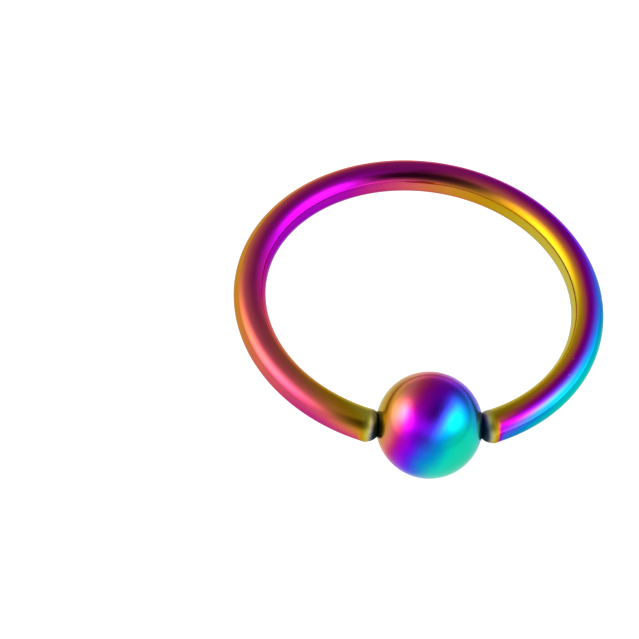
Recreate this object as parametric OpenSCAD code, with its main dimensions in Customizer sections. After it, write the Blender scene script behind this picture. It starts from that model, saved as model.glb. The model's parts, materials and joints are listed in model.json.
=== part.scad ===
// Captive bead ring: a round wire bent to an open circle, with a bead held between its two tips.
// Millimetres. It lies on its side on a level surface at z = 0, with the bead in front, towards -Y.
// The origin is on that surface, under the middle of the outline seen from above.

/* [Ring] */
// Thickness of the round wire, 16 gauge
wire_d = 1.27; // [0.81:0.01:1.63]
// Clear width inside the ring
inner_d = 12; // [9:0.5:16]
// How much larger the radius of each tip's dome is than the wire's own radius
dome_extra = 0.02; // [0.01:0.01:0.1]

/* [Bead] */
// Diameter of the captive bead
bead_d = 4; // [3:0.25:5]
// How far each dimple's bottom lies below the bead's round surface
dimple_depth = 0.3; // [0.15:0.05:0.4]

/* [Fit] */
// Gap all round between a tip's dome and its dimple
tip_gap = 0.05; // [0.02:0.01:0.1]

/* [Hidden] */
$fn = 96;

wire_r = wire_d / 2;
bead_r = bead_d / 2;
// The circle that the middle of the wire follows
ring_r = inner_d / 2 + wire_r;
dome_r = wire_r + dome_extra;
// Each dimple is round the same centre as the dome of the tip that sits in it
dimple_r = dome_r + tip_gap;
// From the bead's centre to the centre of each dome, along the line through both tips
dome_reach = bead_r - dimple_depth + dimple_r;
// Half of the ring's opening, as an angle at the ring's centre
half_gap = asin(dome_reach / ring_r);
// Each half of the opening is cut this many times its own angle, so that the two meet in the middle
past_middle = 1.5;
// From the ring's centre to the bead's centre, on the line between the domes
bead_reach = ring_r * cos(half_gap);

// The bead is thicker than the wire and lifts the front, so the ring leans back until both touch the surface
lean = asin((bead_r - wire_r) / (ring_r + bead_reach));
ring_z = wire_r + ring_r * sin(lean);
front_y = bead_reach * cos(lean) + bead_r;
back_y = ring_r * cos(lean) + wire_r;

// Lays what is drawn round the ring's own centre, in the XY plane, on the surface
module lying() {
    translate([0, (front_y - back_y) / 2, ring_z])
        rotate([-lean, 0, 0])
            children();
}

// What is cut from a full circle of wire to the right of the bead's middle (side 1) or to its left
// (side -1). The dome of the tip on that side is left standing.
module half_opening(side) {
    rotate([0, 0, side * half_gap - 90])
        difference() {
            rotate_extrude(angle = -side * past_middle * half_gap)
                translate([ring_r - wire_d, -wire_d])
                    square(2 * wire_d);
            translate([ring_r, 0, 0])
                sphere(r = dome_r);
        }
}

module ring() {
    color("mediumvioletred")
        lying()
            difference() {
                rotate_extrude()
                    translate([ring_r, 0])
                        circle(d = wire_d);
                half_opening(1);
                half_opening(-1);
            }
}

// One half of the bead's section, on the right of its spin axis, which stands upright here
module half_bead_section() {
    difference() {
        intersection() {
            circle(r = bead_r);
            translate([0, -bead_r])
                square([bead_r, bead_d]);
        }
        for (end = [-1, 1])
            translate([0, end * dome_reach])
                circle(r = dimple_r);
    }
}

module bead() {
    color("slateblue")
        lying()
            translate([0, -bead_reach, 0])
                rotate([0, 90, 0])
                    rotate_extrude()
                        half_bead_section();
}

ring();
bead();
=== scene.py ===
"""A captive bead ring of rainbow filmed steel, lying on its side on a plain pale floor. Metres."""
import json
from math import asin, atan2, cos, exp, pi, radians, sin, sqrt, tan

import bmesh
import bpy
from mathutils import Matrix, Vector


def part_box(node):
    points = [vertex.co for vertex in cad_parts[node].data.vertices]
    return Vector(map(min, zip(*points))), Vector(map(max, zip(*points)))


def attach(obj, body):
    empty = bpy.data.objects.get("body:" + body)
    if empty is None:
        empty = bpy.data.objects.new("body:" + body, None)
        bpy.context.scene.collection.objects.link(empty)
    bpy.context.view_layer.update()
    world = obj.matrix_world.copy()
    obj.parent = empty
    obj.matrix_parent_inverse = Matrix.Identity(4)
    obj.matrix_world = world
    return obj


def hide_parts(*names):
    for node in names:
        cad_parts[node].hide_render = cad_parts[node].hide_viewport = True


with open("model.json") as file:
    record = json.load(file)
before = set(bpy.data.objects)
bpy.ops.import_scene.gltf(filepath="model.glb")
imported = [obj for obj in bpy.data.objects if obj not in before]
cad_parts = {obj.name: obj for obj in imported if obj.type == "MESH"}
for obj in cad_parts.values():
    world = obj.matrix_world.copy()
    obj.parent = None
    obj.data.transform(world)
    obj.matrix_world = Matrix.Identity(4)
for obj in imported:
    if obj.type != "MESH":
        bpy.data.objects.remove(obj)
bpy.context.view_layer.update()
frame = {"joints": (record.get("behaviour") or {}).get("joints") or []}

MM = 0.001
UP = Vector((0, 0, 1))

# Sizes of the two pieces. The ring's width and the bead's place come from the frame.
WIRE_R = 0.635 * MM
DOME_R = 0.655 * MM
TIP_GAP = 0.05 * MM
DIMPLE_DEPTH = 0.3 * MM
ring_low, ring_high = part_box("ring")
RING_R = (ring_high.x - ring_low.x) / 2 - WIRE_R
BEAD_MIDDLE = Vector(frame["joints"][0]["pos_m"])
# The bead rests on the floor
BEAD_R = BEAD_MIDDLE.z
DIMPLE_R = DOME_R + TIP_GAP
# From the bead's middle to the middle of each tip's dome
DOME_REACH = BEAD_R - DIMPLE_DEPTH + DIMPLE_R
HALF_GAP = asin(DOME_REACH / RING_R)
BEAD_REACH = RING_R * cos(HALF_GAP)
# Where the arc of wire ends, as angles round the ring: at its right tip and at its left tip
FIRST_END = HALF_GAP - pi / 2
LAST_END = 3 * pi / 2 - HALF_GAP

# The bead lifts the front of the ring, which leans back by this angle
LEAN = asin((BEAD_R - WIRE_R) / (RING_R + BEAD_REACH))
RING_MIDDLE = BEAD_MIDDLE + BEAD_REACH * Vector((0, cos(LEAN), -sin(LEAN)))
# From the ring's own frame, with its circle in the XY plane, to the floor's frame
LYING = Matrix.Translation(RING_MIDDLE) @ Matrix.Rotation(-LEAN, 4, "X")

# Steps of the two meshes
STEPS_ALONG = 640
STEPS_AROUND = 72
STEPS_DOME = 20
BEAD_STEPS_ROUND = 160
BEAD_STEPS_OVER = 132
BEAD_STEPS_DIMPLE = 16

# The film's thickness on the wire, and how much each place and direction adds to it
WIRE_FILM = {
    "middle": 0.44,
    "right_of_ring": 0.06,
    "quarters_of_ring": -0.03,
    "outer_side": 0.24,
    "both_sides": -0.18,
    "both_sides_at_right": -0.06,
    "both_sides_at_back": -0.04,
    "facing_right": 0.40,
    "facing_back": -0.33,
    "right_tip_top": -0.31,
    "right_tip_outer_side": -0.03,
    "left_tip_top": -0.43,
    "left_tip_outer_side": -0.16,
}
# The same on the bead
BEAD_FILM = {
    "middle": 0.56,
    "facing_right": 0.40,
    "facing_back": -0.42,
    "both_ends": -0.27,
    "upper_right": 0.12,
    "upper_back": 0.10,
}
# A tip thins the film over about this length of wire
THINNING = 1.6 * MM
# Rubbed streaks on the wire: how long one is, and how many there are to a radian across it
STREAK_LONG = 2.5 * MM
STREAKS = 5


def total(amounts, **terms):
    """The sum of the terms, each times its amount."""
    return sum(amounts[name] * term for name, term in terms.items())


def film_on_wire(theta, normal, outward):
    """How thick the film is on the wire: theta goes round the ring, outward is 1 on its outer side."""
    near_right = exp(-((theta - FIRST_END) * RING_R + DOME_R) / THINNING)
    near_left = exp(-((LAST_END - theta) * RING_R + DOME_R) / THINNING)
    return total(
        WIRE_FILM,
        middle=1,
        right_of_ring=cos(theta),
        quarters_of_ring=sin(2 * theta),
        outer_side=outward,
        both_sides=outward ** 2,
        both_sides_at_right=outward ** 2 * cos(theta),
        both_sides_at_back=outward ** 2 * sin(theta),
        facing_right=normal.x,
        facing_back=normal.y,
        right_tip_top=near_right * (1 + normal.z),
        right_tip_outer_side=near_right * outward,
        left_tip_top=near_left * (1 + normal.z),
        left_tip_outer_side=near_left * outward,
    )


def film_on_bead(normal):
    """How thick the film is on the bead."""
    x, y, z = normal
    return total(
        BEAD_FILM,
        middle=1,
        facing_right=x,
        facing_back=y,
        both_ends=x ** 4,
        upper_right=x * z,
        upper_back=y * z,
    )


def new_piece(name, bm, values, body, streaks=()):
    """Makes an object of bm, with the values on its points, that rides on body and stands for its node."""
    bmesh.ops.recalc_face_normals(bm, faces=bm.faces)
    mesh = bpy.data.meshes.new(name)
    bm.to_mesh(mesh)
    bm.free()
    mesh.transform(LYING)
    mesh.shade_smooth()
    for key, numbers in values.items():
        layer = mesh.attributes.new(key, "FLOAT", "POINT")
        layer.data.foreach_set("value", numbers)
    if streaks:
        layer = mesh.attributes.new("streak", "FLOAT_VECTOR", "POINT")
        layer.data.foreach_set("vector", [number for vector in streaks for number in vector])
    piece = bpy.data.objects.new(name, mesh)
    bpy.context.scene.collection.objects.link(piece)
    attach(piece, body)
    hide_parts(body)
    return piece


def skin(bm, rings, start, end):
    """Joins rings of points with quads, and closes both ends on a single point."""
    count = len(rings[0])
    for here, there in zip(rings, rings[1:]):
        for i in range(count):
            j = (i + 1) % count
            bm.faces.new((here[i], here[j], there[j], there[i]))
    for pole, ring in ((start, rings[0]), (end, rings[-1])):
        for i in range(count):
            bm.faces.new((pole, ring[i], ring[(i + 1) % count]))


def build_ring():
    """The round wire, bent to an open circle, with a dome on each tip."""
    bm = bmesh.new()
    film = []
    to_tip = []
    streaks = []

    def point(theta, past, radius, phi, slope):
        """A point of the wire, past metres beyond the place at theta, where the surface leans by slope."""
        out = Vector((cos(theta), sin(theta), 0))
        along = Vector((-sin(theta), cos(theta), 0))
        side = out * cos(phi) + UP * sin(phi)
        normal = (side * cos(slope) + along * sin(slope)).normalized()
        film.append(film_on_wire(theta, normal, side.dot(out)))
        # Millimetres along the wire, from the dome's far end
        arc = min(theta - FIRST_END, LAST_END - theta) * RING_R
        to_tip.append((arc + DOME_R - abs(past)) / MM)
        # The pattern of streaks is much longer along the wire than across it
        streaks.append(((theta * RING_R + past) / STREAK_LONG, cos(phi) * STREAKS, sin(phi) * STREAKS))
        return bm.verts.new(out * RING_R + along * past + side * radius)

    # The dome's ball is a little larger than the wire, and starts where the two meet
    dome = []
    for k in range(1, STEPS_DOME + 1):
        angle = asin(WIRE_R / DOME_R) * k / STEPS_DOME
        dome.append((DOME_R * cos(angle), DOME_R * sin(angle), pi / 2 - angle))
    stations = [(FIRST_END, -past, radius, -slope) for past, radius, slope in dome]
    for k in range(STEPS_ALONG + 1):
        stations.append((FIRST_END + (LAST_END - FIRST_END) * k / STEPS_ALONG, 0, WIRE_R, 0))
    stations += [(LAST_END, past, radius, slope) for past, radius, slope in reversed(dome)]
    turns = [2 * pi * i / STEPS_AROUND for i in range(STEPS_AROUND)]
    right_tip = point(FIRST_END, -DOME_R, 0, 0, -pi / 2)
    rings = []
    for theta, past, radius, slope in stations:
        rings.append([point(theta, past, radius, turn, slope) for turn in turns])
    left_tip = point(LAST_END, DOME_R, 0, 0, pi / 2)
    skin(bm, rings, right_tip, left_tip)
    return new_piece("filmed_ring", bm, {"film": film, "to_tip": to_tip}, "ring", streaks)


def build_bead():
    """The ball, turned about the line through both tips, with a round dimple at each end of it."""
    # Along that line, the place where the dimple's ball cuts the bead's ball
    rim_x = (DOME_REACH ** 2 + BEAD_R ** 2 - DIMPLE_R ** 2) / (2 * DOME_REACH)
    rim_radius = sqrt(BEAD_R ** 2 - rim_x ** 2)
    rim_over = atan2(rim_radius, rim_x)
    rim_in = atan2(rim_radius, DOME_REACH - rim_x)
    dimple = []
    for k in range(1, BEAD_STEPS_DIMPLE):
        angle = rim_in * k / BEAD_STEPS_DIMPLE
        dimple.append((DOME_REACH - DIMPLE_R * cos(angle), DIMPLE_R * sin(angle)))
    profile = [(-x, radius, 1) for x, radius in dimple]
    for k in range(BEAD_STEPS_OVER + 1):
        angle = rim_over + (pi - 2 * rim_over) * k / BEAD_STEPS_OVER
        profile.append((-BEAD_R * cos(angle), BEAD_R * sin(angle), 0))
    profile += [(x, radius, 1) for x, radius in reversed(dimple)]
    bm = bmesh.new()
    film = []
    in_dimple = []

    def point(x, radius, turn, inside):
        """A point of the bead: inside is 1 in a dimple."""
        place = Vector((x, radius * cos(turn), radius * sin(turn)))
        film.append(film_on_bead(place.normalized()))
        in_dimple.append(inside)
        return bm.verts.new(place + Vector((0, -BEAD_REACH, 0)))

    turns = [2 * pi * i / BEAD_STEPS_ROUND for i in range(BEAD_STEPS_ROUND)]
    left_end = point(DIMPLE_R - DOME_REACH, 0, 0, 1)
    rings = []
    for x, radius, inside in profile:
        rings.append([point(x, radius, turn, inside) for turn in turns])
    right_end = point(DOME_REACH - DIMPLE_R, 0, 0, 1)
    skin(bm, rings, left_end, right_end)
    return new_piece("filmed_bead", bm, {"film": film, "in_dimple": in_dimple}, "bead")


# Red, green and blue of the oxide film on steel, by the film's thickness
FILM_COLOURS = {
    -0.60: (0.30, 0.30, 0.26),
    -0.30: (0.42, 0.36, 0.05),
    -0.08: (0.38, 0.28, 0.012),
    0.02: (0.37, 0.21, 0.003),
    0.10: (0.40, 0.18, 0.006),
    0.18: (0.43, 0.17, 0.018),
    0.24: (0.44, 0.125, 0.036),
    0.30: (0.48, 0.085, 0.072),
    0.36: (0.45, 0.045, 0.105),
    0.42: (0.38, 0.014, 0.155),
    0.48: (0.31, 0.003, 0.26),
    0.55: (0.26, 0.001, 0.40),
    0.62: (0.20, 0.005, 0.51),
    0.68: (0.135, 0.02, 0.56),
    0.74: (0.07, 0.055, 0.56),
    0.80: (0.025, 0.10, 0.52),
    0.88: (0.001, 0.17, 0.45),
    0.94: (0.001, 0.27, 0.40),
    1.02: (0.001, 0.44, 0.39),
    1.20: (0.01, 0.42, 0.22),
}
# On the bead its oranges are paler, and its blues and greens purer
BEAD_FILM_COLOURS = FILM_COLOURS | {
    0.18: (0.46, 0.18, 0.05),
    0.24: (0.49, 0.14, 0.085),
    0.30: (0.51, 0.09, 0.115),
    0.62: (0.20, 0.001, 0.51),
    0.68: (0.12, 0.003, 0.56),
    0.74: (0.05, 0.02, 0.56),
    0.80: (0.015, 0.075, 0.54),
    0.88: (0.001, 0.17, 0.46),
    0.94: (0.001, 0.28, 0.41),
    1.02: (0.001, 0.47, 0.35),
    1.20: (0.01, 0.46, 0.20),
}
FILM_LOW = min(FILM_COLOURS)
FILM_HIGH = max(FILM_COLOURS)

WHITE = (1, 1, 1, 1)
BARE_STEEL = (0.6, 0.58, 0.55, 1)
# Painted shade and painted reflection: the near-black, blue-tinted colour of each dome's end in its dimple
TIP_SHADE = (0.012, 0.03, 0.04, 1)
# Painted shade: the dark colour painted inside the bead's dimples
DIMPLE_SHADE = (0.02, 0.025, 0.025, 1)

# Finish of each piece: clouds and grain to a metre, how far clouds and streaks change the film, the
# least and the greatest roughness, the share of white in what grazing light shows, and the bump's strength
WIRE_FINISH = {
    "clouds": 700,
    "grain": 9000,
    "clouding": 0.02,
    "streaking": 0.02,
    "roughness": (0.08, 0.12),
    "pale_rim": 0.5,
    "bump": 0.04,
}
BEAD_FINISH = {
    "clouds": 900,
    "grain": 12000,
    "clouding": 0.04,
    "roughness": (0.18, 0.23),
    "pale_rim": 0.7,
    "bump": 0.04,
}
GRAIN_HEIGHT = 0.01 * MM
# The part of a noise pattern's range that changes the film, and the part that changes the roughness
FILM_NOISE = (0.2, 0.8)
ROUGHNESS_NOISE = (0.3, 0.7)
# What changes towards each tip, and from where to where, in mm from the dome's far end: the film, the
# painted shade of the dome's end, and the roughness
TIP_FILM = (0.20, 0.78)
TIP_SHADE_SPAN = (0.18, 0.36)
TIP_DULL = (0.45, 0.75)
# The domes are worn dull, so they are rougher by this much
TIP_ROUGHNESS = 0.32

# Small rubbed marks: degrees round the ring and over the wire, size in mm, and the share of steel in them
MARKS = (
    {"round": -1.9, "over": 38.5, "size": 0.07, "share": 0.22},
    {"round": -3.4, "over": 38, "size": 0.04, "share": 0.12},
    {"round": -31.4, "over": 93, "size": 0.06, "share": 0.12},
    {"round": -37.8, "over": 72, "size": 0.06, "share": 0.12},
)
# The middle of a mark, as a share of its size, is evenly bare
MARK_CORE = 0.3


class Nodes:
    """Adds and joins the nodes of one material, world or lamp."""

    def __init__(self, owner):
        owner.use_nodes = True
        self.tree = owner.node_tree
        self.tree.nodes.clear()

    def add(self, kind, **settings):
        node = self.tree.nodes.new(kind)
        for key, value in settings.items():
            setattr(node, key, value)
        return node

    def join(self, source, target):
        """source is an output socket or a plain value, target an input socket."""
        if isinstance(source, bpy.types.NodeSocket):
            self.tree.links.new(source, target)
        else:
            target.default_value = source

    def math(self, operation, *values):
        node = self.add("ShaderNodeMath", operation=operation)
        for value, socket in zip(values, node.inputs):
            self.join(value, socket)
        return node.outputs[0]

    def remap(self, value, from_low, from_high, to_low=0.0, to_high=1.0, smooth=True):
        kind = "SMOOTHSTEP" if smooth else "LINEAR"
        node = self.add("ShaderNodeMapRange", interpolation_type=kind, clamp=True)
        for source, socket in zip((value, from_low, from_high, to_low, to_high), node.inputs):
            self.join(source, socket)
        return node.outputs[0]

    def fading(self, distance, spread):
        """The power in a glow's bell curve, which is 0 in its middle."""
        share = self.math("DIVIDE", distance, spread)
        return self.math("MULTIPLY", self.math("MULTIPLY", share, share), -0.5)

    def attribute(self, name, output="Fac"):
        return self.add("ShaderNodeAttribute", attribute_name=name).outputs[output]

    def noise(self, vector, scale, detail=3):
        node = self.add("ShaderNodeTexNoise")
        self.join(vector, node.inputs["Vector"])
        node.inputs["Scale"].default_value = scale
        node.inputs["Detail"].default_value = detail
        return node.outputs["Fac"]

    def mixed(self, share, first, second):
        """first, with that share of second in it. Both are colours."""
        mix = self.add("ShaderNodeMix", data_type="RGBA")
        self.join(share, mix.inputs["Factor"])
        colours = [socket for socket in mix.inputs if socket.type == "RGBA"]
        self.join(first, colours[0])
        self.join(second, colours[1])
        return next(socket for socket in mix.outputs if socket.type == "RGBA")

    def end(self, kind, shader):
        """Joins the shader to an output node of that kind."""
        self.join(shader.outputs[0], self.add(kind).inputs["Surface"])


def varied(nodes, film, noise, amount):
    """The film's thickness, raised and lowered by a noise pattern by up to amount."""
    return nodes.math("ADD", film, nodes.remap(noise, *FILM_NOISE, -amount, amount, smooth=False))


def film_ramp(nodes, film, colours):
    """The colour of a film of that thickness."""
    ramp = nodes.add("ShaderNodeValToRGB")
    ramp.color_ramp.interpolation = "LINEAR"
    elements = ramp.color_ramp.elements
    while len(elements) > 1:
        elements.remove(elements[-1])
    for k, (thickness, colour) in enumerate(colours.items()):
        place = (thickness - FILM_LOW) / (FILM_HIGH - FILM_LOW)
        element = elements[0] if k == 0 else elements.new(place)
        element.position = place
        element.color = (*colour, 1)
    nodes.join(nodes.remap(film, FILM_LOW, FILM_HIGH, smooth=False), ramp.inputs["Fac"])
    return ramp.outputs["Color"]


def mark_share(nodes, place, mark):
    """How much bare steel one small mark shows at a place."""
    theta = radians(mark["round"])
    phi = radians(mark["over"])
    out = Vector((cos(theta), sin(theta), 0))
    middle = LYING @ (out * (RING_R + WIRE_R * cos(phi)) + UP * WIRE_R * sin(phi))
    size = mark["size"] * MM
    distance = nodes.add("ShaderNodeVectorMath", operation="DISTANCE")
    nodes.join(place, distance.inputs[0])
    nodes.join(middle, distance.inputs[1])
    return nodes.remap(distance.outputs["Value"], MARK_CORE * size, size, mark["share"], 0.0)


def finish_metal(nodes, finish, colour, roughness, grain):
    """Ends a material as metal of that colour, with a fine grained surface."""
    shader = nodes.add("ShaderNodeBsdfPrincipled")
    shader.inputs["Metallic"].default_value = 1
    nodes.join(nodes.mixed(finish["pale_rim"], colour, WHITE), shader.inputs["Specular Tint"])
    nodes.join(colour, shader.inputs["Base Color"])
    nodes.join(roughness, shader.inputs["Roughness"])
    bump = nodes.add("ShaderNodeBump")
    bump.inputs["Strength"].default_value = finish["bump"]
    bump.inputs["Distance"].default_value = GRAIN_HEIGHT
    nodes.join(grain, bump.inputs["Height"])
    nodes.join(bump.outputs["Normal"], shader.inputs["Normal"])
    nodes.end("ShaderNodeOutputMaterial", shader)


def wire_material():
    """Polished steel wire under a rainbow film, with fine rubbed streaks and marks, and painted shade at
    each dome's end.
    """
    material = bpy.data.materials.new("rainbow_wire")
    nodes = Nodes(material)
    place = nodes.add("ShaderNodeTexCoord").outputs["Object"]
    clouds = nodes.noise(place, WIRE_FINISH["clouds"])
    grain = nodes.noise(place, WIRE_FINISH["grain"], detail=2)
    streaks = nodes.noise(nodes.attribute("streak", "Vector"), 1)
    film = varied(nodes, nodes.attribute("film"), clouds, WIRE_FINISH["clouding"])
    film = varied(nodes, film, streaks, WIRE_FINISH["streaking"])
    # The film thins out to bare steel over the last stretch before each tip
    to_tip = nodes.attribute("to_tip")
    whole = nodes.remap(to_tip, *TIP_FILM)
    film = nodes.math("MULTIPLY", nodes.math("SUBTRACT", film, FILM_LOW), whole)
    film = nodes.math("ADD", film, FILM_LOW)
    # The end of the dome, in its dimple, is painted near black with a blue tint, as painted shade of the
    # dimple and a painted dark reflection of the bead
    tip_shade_share = nodes.remap(to_tip, *TIP_SHADE_SPAN, 1.0, 0.0)
    colour = nodes.mixed(tip_shade_share, film_ramp(nodes, film, FILM_COLOURS), TIP_SHADE)
    for mark in MARKS:
        colour = nodes.mixed(mark_share(nodes, place, mark), colour, BARE_STEEL)
    polished = nodes.remap(streaks, *ROUGHNESS_NOISE, *WIRE_FINISH["roughness"], smooth=False)
    dull = nodes.remap(to_tip, *TIP_DULL, TIP_ROUGHNESS, 0.0)
    finish_metal(nodes, WIRE_FINISH, colour, nodes.math("ADD", polished, dull), grain)
    return material


def bead_material():
    """Satin steel under the same film, faintly mottled, and painted with dark shade in its dimples."""
    material = bpy.data.materials.new("rainbow_bead")
    nodes = Nodes(material)
    place = nodes.add("ShaderNodeTexCoord").outputs["Object"]
    clouds = nodes.noise(place, BEAD_FINISH["clouds"])
    grain = nodes.noise(place, BEAD_FINISH["grain"], detail=2)
    film = varied(nodes, nodes.attribute("film"), clouds, BEAD_FINISH["clouding"])
    colour = film_ramp(nodes, film, BEAD_FILM_COLOURS)
    # The dimples are painted dark, as shade
    colour = nodes.mixed(nodes.attribute("in_dimple"), colour, DIMPLE_SHADE)
    satin = nodes.remap(grain, *ROUGHNESS_NOISE, *BEAD_FINISH["roughness"], smooth=False)
    finish_metal(nodes, BEAD_FINISH, colour, satin, grain)
    return material


FLOOR_HALF = 2.0
FLOOR_GREY = 0.3
# The floor gives off its own light too, so that it shows plain and pale
FLOOR_GLOW = 1.15


def build_floor():
    """A plain pale floor."""
    bm = bmesh.new()
    corners = ((-1, -1), (1, -1), (1, 1), (-1, 1))
    bm.faces.new([bm.verts.new((x * FLOOR_HALF, y * FLOOR_HALF, 0)) for x, y in corners])
    mesh = bpy.data.meshes.new("floor")
    bm.to_mesh(mesh)
    bm.free()
    floor = bpy.data.objects.new("floor", mesh)
    bpy.context.scene.collection.objects.link(floor)
    material = bpy.data.materials.new("pale_floor")
    nodes = Nodes(material)
    shader = nodes.add("ShaderNodeBsdfPrincipled")
    shader.inputs["Base Color"].default_value = (FLOOR_GREY, FLOOR_GREY, FLOOR_GREY, 1)
    shader.inputs["Roughness"].default_value = 1
    shader.inputs["Specular IOR Level"].default_value = 0
    shader.inputs["Emission Color"].default_value = WHITE
    shader.inputs["Emission Strength"].default_value = FLOOR_GLOW
    nodes.end("ShaderNodeOutputMaterial", shader)
    mesh.materials.append(material)


# Light of the dim room, and of the side where the camera is, which is darker: the azimuth of that side's
# middle, and how many degrees from there the room begins to brighten and has its full light
ROOM_LIGHT = 0.44
CAMERA_SIDE_LIGHT = 0.045
CAMERA_SIDE = 185
CAMERA_SIDE_EDGE = (35, 78)
# Overhead the room is even, and takes over between these heights
OVERHEAD_LIGHT = 0.65 * ROOM_LIGHT
OVERHEAD_EDGE = (60, 90)
# Lights of the studio, as soft glows. Azimuth is from straight behind the ring, clockwise, and height
# above the floor, both in degrees, each with the spread over which its glow fades.
GLOWS = (
    {"azimuth": -94, "spread": 19.5, "height": 28, "spread_up": 15, "light": 4.8},
    {"azimuth": -68, "spread": 16, "height": 17, "spread_up": 19, "light": 1.8},
    {"azimuth": -60, "spread": 42, "height": 50, "spread_up": 30, "light": 0.48},
    {"azimuth": -150, "spread": 80, "height": 0, "spread_up": 16.5, "light": 1.4},
)
# Lamps with soft edges, described in the same way. Each lights its own piece alone.
LAMPS = {
    "ring": (
        {"name": "side", "azimuth": 104, "spread": 13.5, "height": 35, "spread_up": 10.5, "light": 6.8},
        {"name": "low", "azimuth": 136, "spread": 24, "height": 0, "spread_up": 18, "light": 2.3},
        {"name": "right", "azimuth": 88, "spread": 22, "height": 22, "spread_up": 26, "light": 2.0},
        {"name": "horizon", "azimuth": 100, "spread": 30, "height": 3, "spread_up": 8, "light": 1.0},
    ),
    "bead": (
        {"name": "side", "azimuth": 124, "spread": 22, "height": 48, "spread_up": 11, "light": 6.2},
        {"name": "right", "azimuth": 85, "spread": 18, "height": 34, "spread_up": 14, "light": 3.9},
        {"name": "left", "azimuth": -89, "spread": 14, "height": 36, "spread_up": 6.5, "light": 9},
        {"name": "front", "azimuth": 208, "spread": 20, "height": 50, "spread_up": 14, "light": 1.45},
        {"name": "low", "azimuth": 154, "spread": 22, "height": 20, "spread_up": 11, "light": 0.8},
    ),
}
LAMP_DISTANCE = 0.3
# How many of its spreads a lamp reaches to each side
LAMP_REACH = 2.4


def build_world():
    """A dim grey room with soft glows, darker round the camera."""
    world = bpy.data.worlds.new("studio")
    bpy.context.scene.world = world
    nodes = Nodes(world)
    split = nodes.add("ShaderNodeSeparateXYZ")
    nodes.join(nodes.add("ShaderNodeTexCoord").outputs["Generated"], split.inputs[0])
    x, y, z = split.outputs
    azimuth = nodes.math("DEGREES", nodes.math("ARCTAN2", x, y))
    height = nodes.math("DEGREES", nodes.math("ARCSINE", z))

    def turned(middle):
        """Degrees of azimuth from middle."""
        return nodes.math("WRAP", nodes.math("SUBTRACT", azimuth, middle), 180.0, -180.0)

    from_camera = nodes.math("ABSOLUTE", turned(CAMERA_SIDE))
    light = nodes.remap(from_camera, *CAMERA_SIDE_EDGE, CAMERA_SIDE_LIGHT, ROOM_LIGHT)
    light = nodes.remap(height, *OVERHEAD_EDGE, light, OVERHEAD_LIGHT)
    for glow in GLOWS:
        across = nodes.fading(turned(glow["azimuth"]), glow["spread"])
        up = nodes.fading(nodes.math("SUBTRACT", height, glow["height"]), glow["spread_up"])
        shape = nodes.math("EXPONENT", nodes.math("ADD", across, up))
        light = nodes.math("ADD", light, nodes.math("MULTIPLY", shape, glow["light"]))
    room = nodes.add("ShaderNodeBackground")
    nodes.join(light, room.inputs["Strength"])
    # The camera itself sees a plain pale room
    pale = nodes.add("ShaderNodeBackground")
    pale.inputs["Strength"].default_value = 1
    pale.inputs["Color"].default_value = WHITE
    mix = nodes.add("ShaderNodeMixShader")
    nodes.join(nodes.add("ShaderNodeLightPath").outputs["Is Camera Ray"], mix.inputs["Fac"])
    nodes.join(room.outputs[0], mix.inputs[1])
    nodes.join(pale.outputs[0], mix.inputs[2])
    nodes.end("ShaderNodeOutputWorld", mix)


def axes_from(back, roll=0.0):
    """Right and up of what looks against back, rolled from level."""
    level = UP.cross(back).normalized()
    right = level * cos(roll) + back.cross(level) * sin(roll)
    return right, back.cross(right)


def placed(eye, right, up, back):
    """The matrix of a lamp or camera there, with those axes."""
    return Matrix.Translation(eye) @ Matrix((right, up, back)).transposed().to_4x4()


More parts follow.
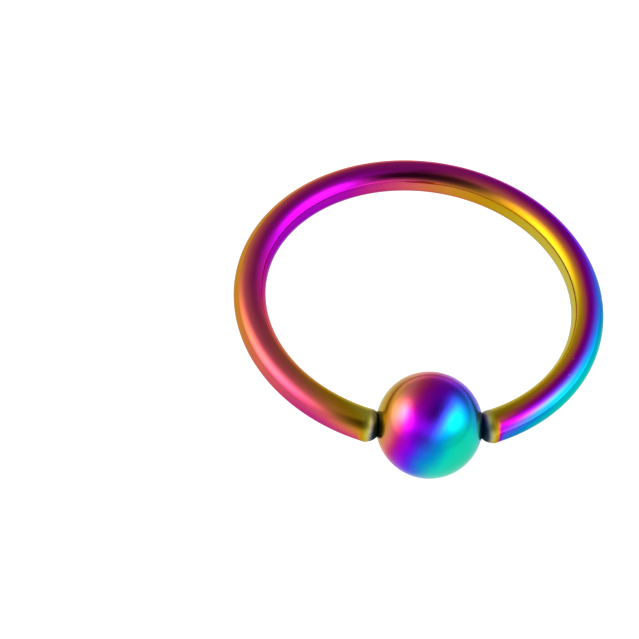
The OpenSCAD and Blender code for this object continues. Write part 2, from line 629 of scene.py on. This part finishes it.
def build_lamp(name, setting, piece):
    """A soft-edged lamp that lights that piece alone."""
    light = bpy.data.lights.new(name, "AREA")
    light.shape = "RECTANGLE"
    light.size = 2 * LAMP_DISTANCE * tan(radians(LAMP_REACH * setting["spread"]))
    light.size_y = 2 * LAMP_DISTANCE * tan(radians(LAMP_REACH * setting["spread_up"]))
    # With this power its middle is as bright as the setting says
    light.energy = pi * light.size * light.size_y * setting["light"]
    nodes = Nodes(light)
    # Places across and up the lamp run from 0 to 1
    split = nodes.add("ShaderNodeSeparateXYZ")
    nodes.join(nodes.add("ShaderNodeNewGeometry").outputs["Parametric"], split.inputs[0])
    fadings = []
    for place, size, spread in (
        (split.outputs[0], light.size, setting["spread"]),
        (split.outputs[1], light.size_y, setting["spread_up"]),
    ):
        slope = nodes.math("MULTIPLY", nodes.math("SUBTRACT", place, 0.5), size / LAMP_DISTANCE)
        fadings.append(nodes.fading(nodes.math("ARCTANGENT", slope), radians(spread)))
    emission = nodes.add("ShaderNodeEmission")
    nodes.join(nodes.math("EXPONENT", nodes.math("ADD", *fadings)), emission.inputs["Strength"])
    nodes.end("ShaderNodeOutputLight", emission)
    azimuth = radians(setting["azimuth"])
    height = radians(setting["height"])
    back = Vector((sin(azimuth) * cos(height), cos(azimuth) * cos(height), sin(height)))
    lamp = bpy.data.objects.new(name, light)
    lamp.matrix_world = placed(back * LAMP_DISTANCE, *axes_from(back), back)
    lamp.visible_camera = False
    bpy.context.scene.collection.objects.link(lamp)
    receivers = bpy.data.collections.new(name + "_lights")
    receivers.objects.link(piece)
    lamp.light_linking.receiver_collection = receivers


# The photograph's view of the ring, in the ring's own frame
VIEW_AZIMUTH = radians(-5.85)
VIEW_ELEVATION = radians(50.28)
VIEW_ROLL = radians(5.40)
VIEW_DISTANCE = 74.95 * MM
VIEW_RIGHT = -3.893 * MM
VIEW_UP = -0.847 * MM
# Focal length, in mm
LENS = 107.72
CLIP_START = 1 * MM


def build_camera():
    """The photograph's camera."""
    back = Vector((
        sin(VIEW_AZIMUTH) * cos(VIEW_ELEVATION),
        -cos(VIEW_AZIMUTH) * cos(VIEW_ELEVATION),
        sin(VIEW_ELEVATION),
    ))
    right, up = axes_from(back, VIEW_ROLL)
    eye = right * VIEW_RIGHT + up * VIEW_UP + back * VIEW_DISTANCE
    data = bpy.data.cameras.new("camera")
    data.lens = LENS
    data.clip_start = CLIP_START
    camera = bpy.data.objects.new("camera", data)
    camera.matrix_world = LYING @ placed(eye, right, up, back)
    bpy.context.scene.collection.objects.link(camera)
    bpy.context.scene.camera = camera


build_camera()
build_floor()
build_world()
pieces = {"ring": build_ring(), "bead": build_bead()}
pieces["ring"].data.materials.append(wire_material())
pieces["bead"].data.materials.append(bead_material())
for body, piece in pieces.items():
    for setting in LAMPS[body]:
        build_lamp(f"{body}_{setting['name']}", setting, piece)
bpy.context.scene.view_settings.view_transform = "Standard"
